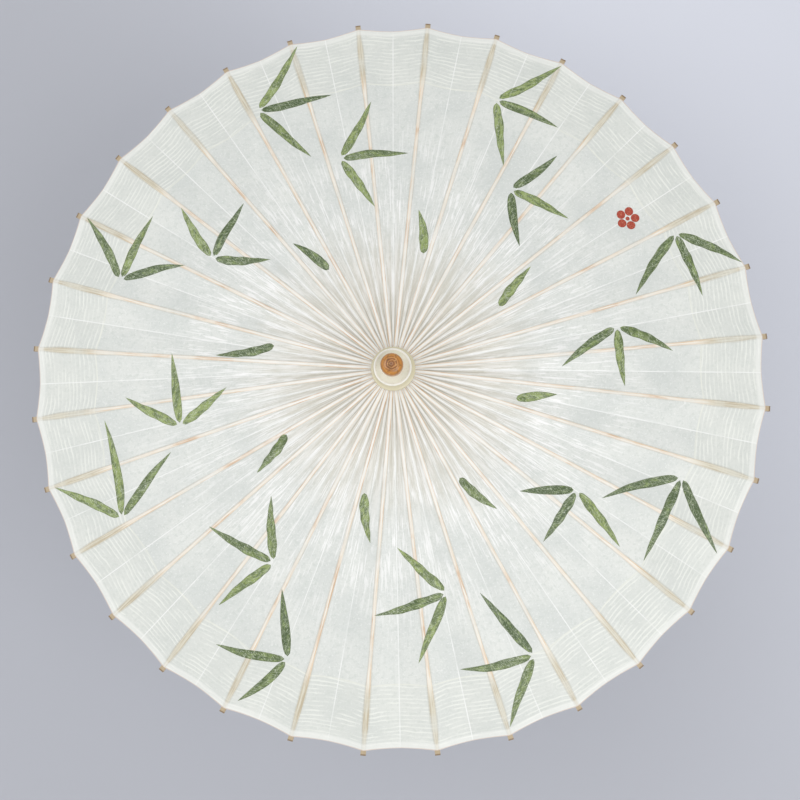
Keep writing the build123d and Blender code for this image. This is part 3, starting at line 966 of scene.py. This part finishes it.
def make_stretcher(number, material):
    """One split-bamboo stretcher from the runner out to its rib, with softened long edges."""
    # millimetres: place along the stretcher, half width, half depth
    stations = [
        (-2.3, 0.95, 1.2),
        (-1.6, 1.0, 2.1),
        (0.0, 1.0, 2.4),
        (2.2, 1.0, 2.0),
        (8.0, 1.0, 1.8),
        (15.0, 1.5, 1.8),
        (60.0, 1.54, 1.9),
        (62.0, 1.6, 2.0),
        (64.0, 1.54, 1.9),
        (106.0, 1.5, 1.8),
        (120.0, 1.0, 1.75),
        (STRETCH_L / MM - 1.0, 1.0, 1.5),
        (STRETCH_L / MM + 0.8, 0.98, 1.1),
        (STRETCH_L / MM + 1.4, 0.9, 0.5),
    ]
    outward, around = rib_ways(number)
    way = outward * cos(SLOPE) + Vector((0, 0, sin(SLOPE)))
    up = Vector((0, 0, cos(SLOPE))) - outward * sin(SLOPE)
    start = outward * HINGE_R + Vector((0, 0, RUNNER_Z))
    vertices, faces = [], []
    corners = [(1, 0.55), (0.6, 1), (-0.6, 1), (-1, 0.55), (-1, -0.55), (-0.6, -1), (0.6, -1), (1, -0.55)]
    for place, half_width, half_depth in stations:
        for sideways, height in corners:
            point = start + way * place * MM
            point += around * sideways * half_width * MM + up * height * half_depth * MM
            vertices.append(point)
    sides = len(corners)
    for ring in range(len(stations) - 1):
        low, high = ring * sides, (ring + 1) * sides
        for corner in range(sides):
            after = (corner + 1) % sides
            faces.append((low + corner, low + after, high + after, high + corner))
    faces.append(tuple(reversed(range(sides))))
    faces.append(tuple(range(len(vertices) - sides, len(vertices))))
    return finish_mesh(new_mesh(f"stretcher_{number + 1:02d}", vertices, faces), material)


def stretcher_fold(number):
    """The axis and the point that close a stretcher up towards its folded rib, its head kept in place.

    The pair turns as one about the plane between its two stretchers, so that each would stand out
    sideways when folded. The axis leans from that plane's normal by as much as brings the stretcher's
    own line in, which leaves more of its width than flattening it squarely would."""
    side = 1 if number % 2 else -1
    turn, middle = number * PITCH, (number // 2 * 2 + 0.5) * PITCH
    sideways = Vector((-sin(middle), cos(middle), 0)) * side
    forward = Vector((cos(middle), sin(middle), 0)) * cos(SLOPE) + Vector((0, 0, sin(SLOPE)))
    spread_angle = asin(sin(HALF) * cos(SLOPE))
    drawn_in = sin(HALF) * (cos(SLOPE) - cos(CLOSED_SLOPE))
    lean = (asin(2 * drawn_in / (1 - STRETCHER_KEEP) - sin(spread_angle)) - spread_angle) / 2
    axis = sideways * cos(lean) + forward * sin(lean)
    return axis, (HINGE_R * cos(turn), HINGE_R * sin(turn), RUNNER_Z)


# ------------------------ putting it together

paper = paper_material()
ink = leaf_material()
rib_bamboo = bamboo_material("rib_bamboo", (0.66, 0.50, 0.32), (0.50, 0.34, 0.19), tip=TIP_R)
stretcher_bamboo = bamboo_material("stretcher_bamboo", (0.70, 0.54, 0.33), (0.52, 0.36, 0.19))
latch_bamboo = bamboo_material("latch_bamboo", (0.50, 0.33, 0.18), (0.34, 0.20, 0.10))
shaft_wood = turned_wood_material("shaft_wood", (0.60, 0.41, 0.23), (0.42, 0.26, 0.13))
hub_wood = turned_wood_material("hub_wood", (0.70, 0.54, 0.34), (0.52, 0.37, 0.21), 0.55, 0.05)
handle_wood = turned_wood_material("handle_wood", (0.24, 0.12, 0.055), (0.10, 0.045, 0.02), 0.3, 0.5)
lacquer = cap_material()
end_grain = knob_material()
thread = thread_material()
red_ink = seal_material()

node_materials = {
    "shaft": shaft_wood,
    "upper_hub": hub_wood,
    "runner": hub_wood,
    "hub_thread": thread,
    "runner_thread": thread,
    "handle_grip": handle_wood,
    "handle_end": handle_wood,
    "latch": latch_bamboo,
    "latch_pin": latch_bamboo,
}
node_materials.update({f"rib_{number + 1:02d}": rib_bamboo for number in range(RIBS)})
for name, material in node_materials.items():
    piece = frame["nodes"][name]
    for place in piece.material_slots:
        place.material = material

leaves = leaf_list()
seal_centre = (SEAL_REACH * cos(SEAL_TURN), SEAL_REACH * sin(SEAL_TURN))

for number in range(RIBS):
    body = f"rib_{number + 1:02d}"
    on_paper = {1: [], -1: []}
    strip = make_strip(number, paper)
    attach(strip, body)
    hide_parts("canopy")
    on_paper[1].append(strip)
    for zone, label in ((0, "strip"), (1, "left"), (-1, "right")):
        marks = []
        shapes = [(flat_leaf, leaf) for leaf in leaves if reaches(leaf, number, zone)]
        if shapes:
            marks.append(painted(f"leaves_{number + 1:02d}_{label}", shapes, number, zone, ink))
        if abs(turn_from_rib(SEAL_TURN, number)) < PITCH:
            seal = [(flat_seal, seal_centre)]
            marks.append(painted(f"seal_{number + 1:02d}_{label}", seal, number, zone, red_ink))
        for mark in marks:
            if mark is None:
                continue
            on_paper[zone or 1].append(mark)
            if zone == 0:
                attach(mark, body)
            else:
                fold(mark, number, zone)
    for side in (1, -1):
        web = make_web(number, side, paper)
        fold(web, number, side)
        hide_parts("canopy")

for number in range(RIBS):
    pair = number // 2
    body = f"stretchers_{2 * pair + 1:02d}_{2 * pair + 2:02d}"
    piece = make_stretcher(number, stretcher_bamboo)
    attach(piece, body)
    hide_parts(body)
    axis, anchor = stretcher_fold(number)
    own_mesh(piece)
    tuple(axis)
    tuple(anchor)

cap = lathe("top_cap_turned", cap_profile(), lacquer)
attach(cap, "frame")
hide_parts("top_cap")
knob = lathe("finial_knob_turned", knob_profile(), end_grain)
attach(knob, "frame")
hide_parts("finial_knob")

# ------------------------ floor, light and camera


def make_floor():
    """A wide floor that the handle's end stands on."""
    size = 6.0
    corners = [(-size, -size, 0), (size, -size, 0), (size, size, 0), (-size, size, 0)]
    mesh = new_mesh("floor", corners, [(0, 1, 2, 3)])
    mesh.materials.append(floor_material())
    floor = bpy.data.objects.new("floor", mesh)
    bpy.context.scene.collection.objects.link(floor)


def area_light(name, place, target, size, power, colour=(1.0, 1.0, 1.0)):
    """A square soft light aimed at a point, which the camera doesn't see."""
    data = bpy.data.lights.new(name, "AREA")
    data.size = size
    data.energy = power
    data.color = colour
    light = bpy.data.objects.new(name, data)
    light.location = place
    light.visible_camera = False
    light.rotation_euler = (Vector(target) - Vector(place)).to_track_quat("-Z", "Y").to_euler()
    bpy.context.scene.collection.objects.link(light)


def make_camera():
    """The camera, 1.5 m off the level of the rib tips, with the photograph's small lean and twist."""
    tips = Vector((0, 0, HUB_Z - (TIP_R - HINGE_R) * tan(SLOPE)))
    distance, right, down = 1.5, 0.0039, -0.0247
    lean_right, lean_up, twist = radians(-2.48), radians(-6.59), radians(6.51)
    turn = Matrix.Rotation(lean_right, 3, "Y") @ Matrix.Rotation(lean_up, 3, "X")
    back = (turn @ Matrix.Rotation(twist, 3, "Z")).transposed()
    data = bpy.data.cameras.new("camera")
    data.sensor_width = 36.0
    data.lens = 58.6
    camera = bpy.data.objects.new("camera", data)
    place = tips + back @ Vector((right, down, distance))
    camera.matrix_world = Matrix.Translation(place) @ back.to_4x4()
    bpy.context.scene.collection.objects.link(camera)
    bpy.context.scene.camera = camera


def make_light():
    """Soft studio light, strongest from the lower right of the view, and two low lights under the rim's
    level that brighten the floor at the right and the top."""
    world = bpy.data.worlds.new("studio")
    world.use_nodes = True
    background = world.node_tree.nodes["Background"]
    background.inputs["Color"].default_value = (1.0, 1.0, 0.995, 1)
    background.inputs["Strength"].default_value = 0.66
    bpy.context.scene.world = world
    target = (0, 0, HUB_Z)
    area_light("key", (1.5, -1.9, 3.4), target, 2.6, 42.0, (1.0, 0.995, 0.985))
    area_light("fill", (-2.2, 0.4, 3.5), target, 2.4, 26.0)
    area_light("glow_right", (1.0, 0, 0.42), (1.0, 0, 0), 1.0, 2.0, (0.97, 0.98, 1.0))
    area_light("glow_top", (0.35, 1.0, 0.42), (0.35, 1.0, 0), 1.0, 2.5, (0.97, 0.98, 1.0))
    bpy.context.scene.view_settings.view_transform = "Standard"


make_floor()
make_light()
make_camera()
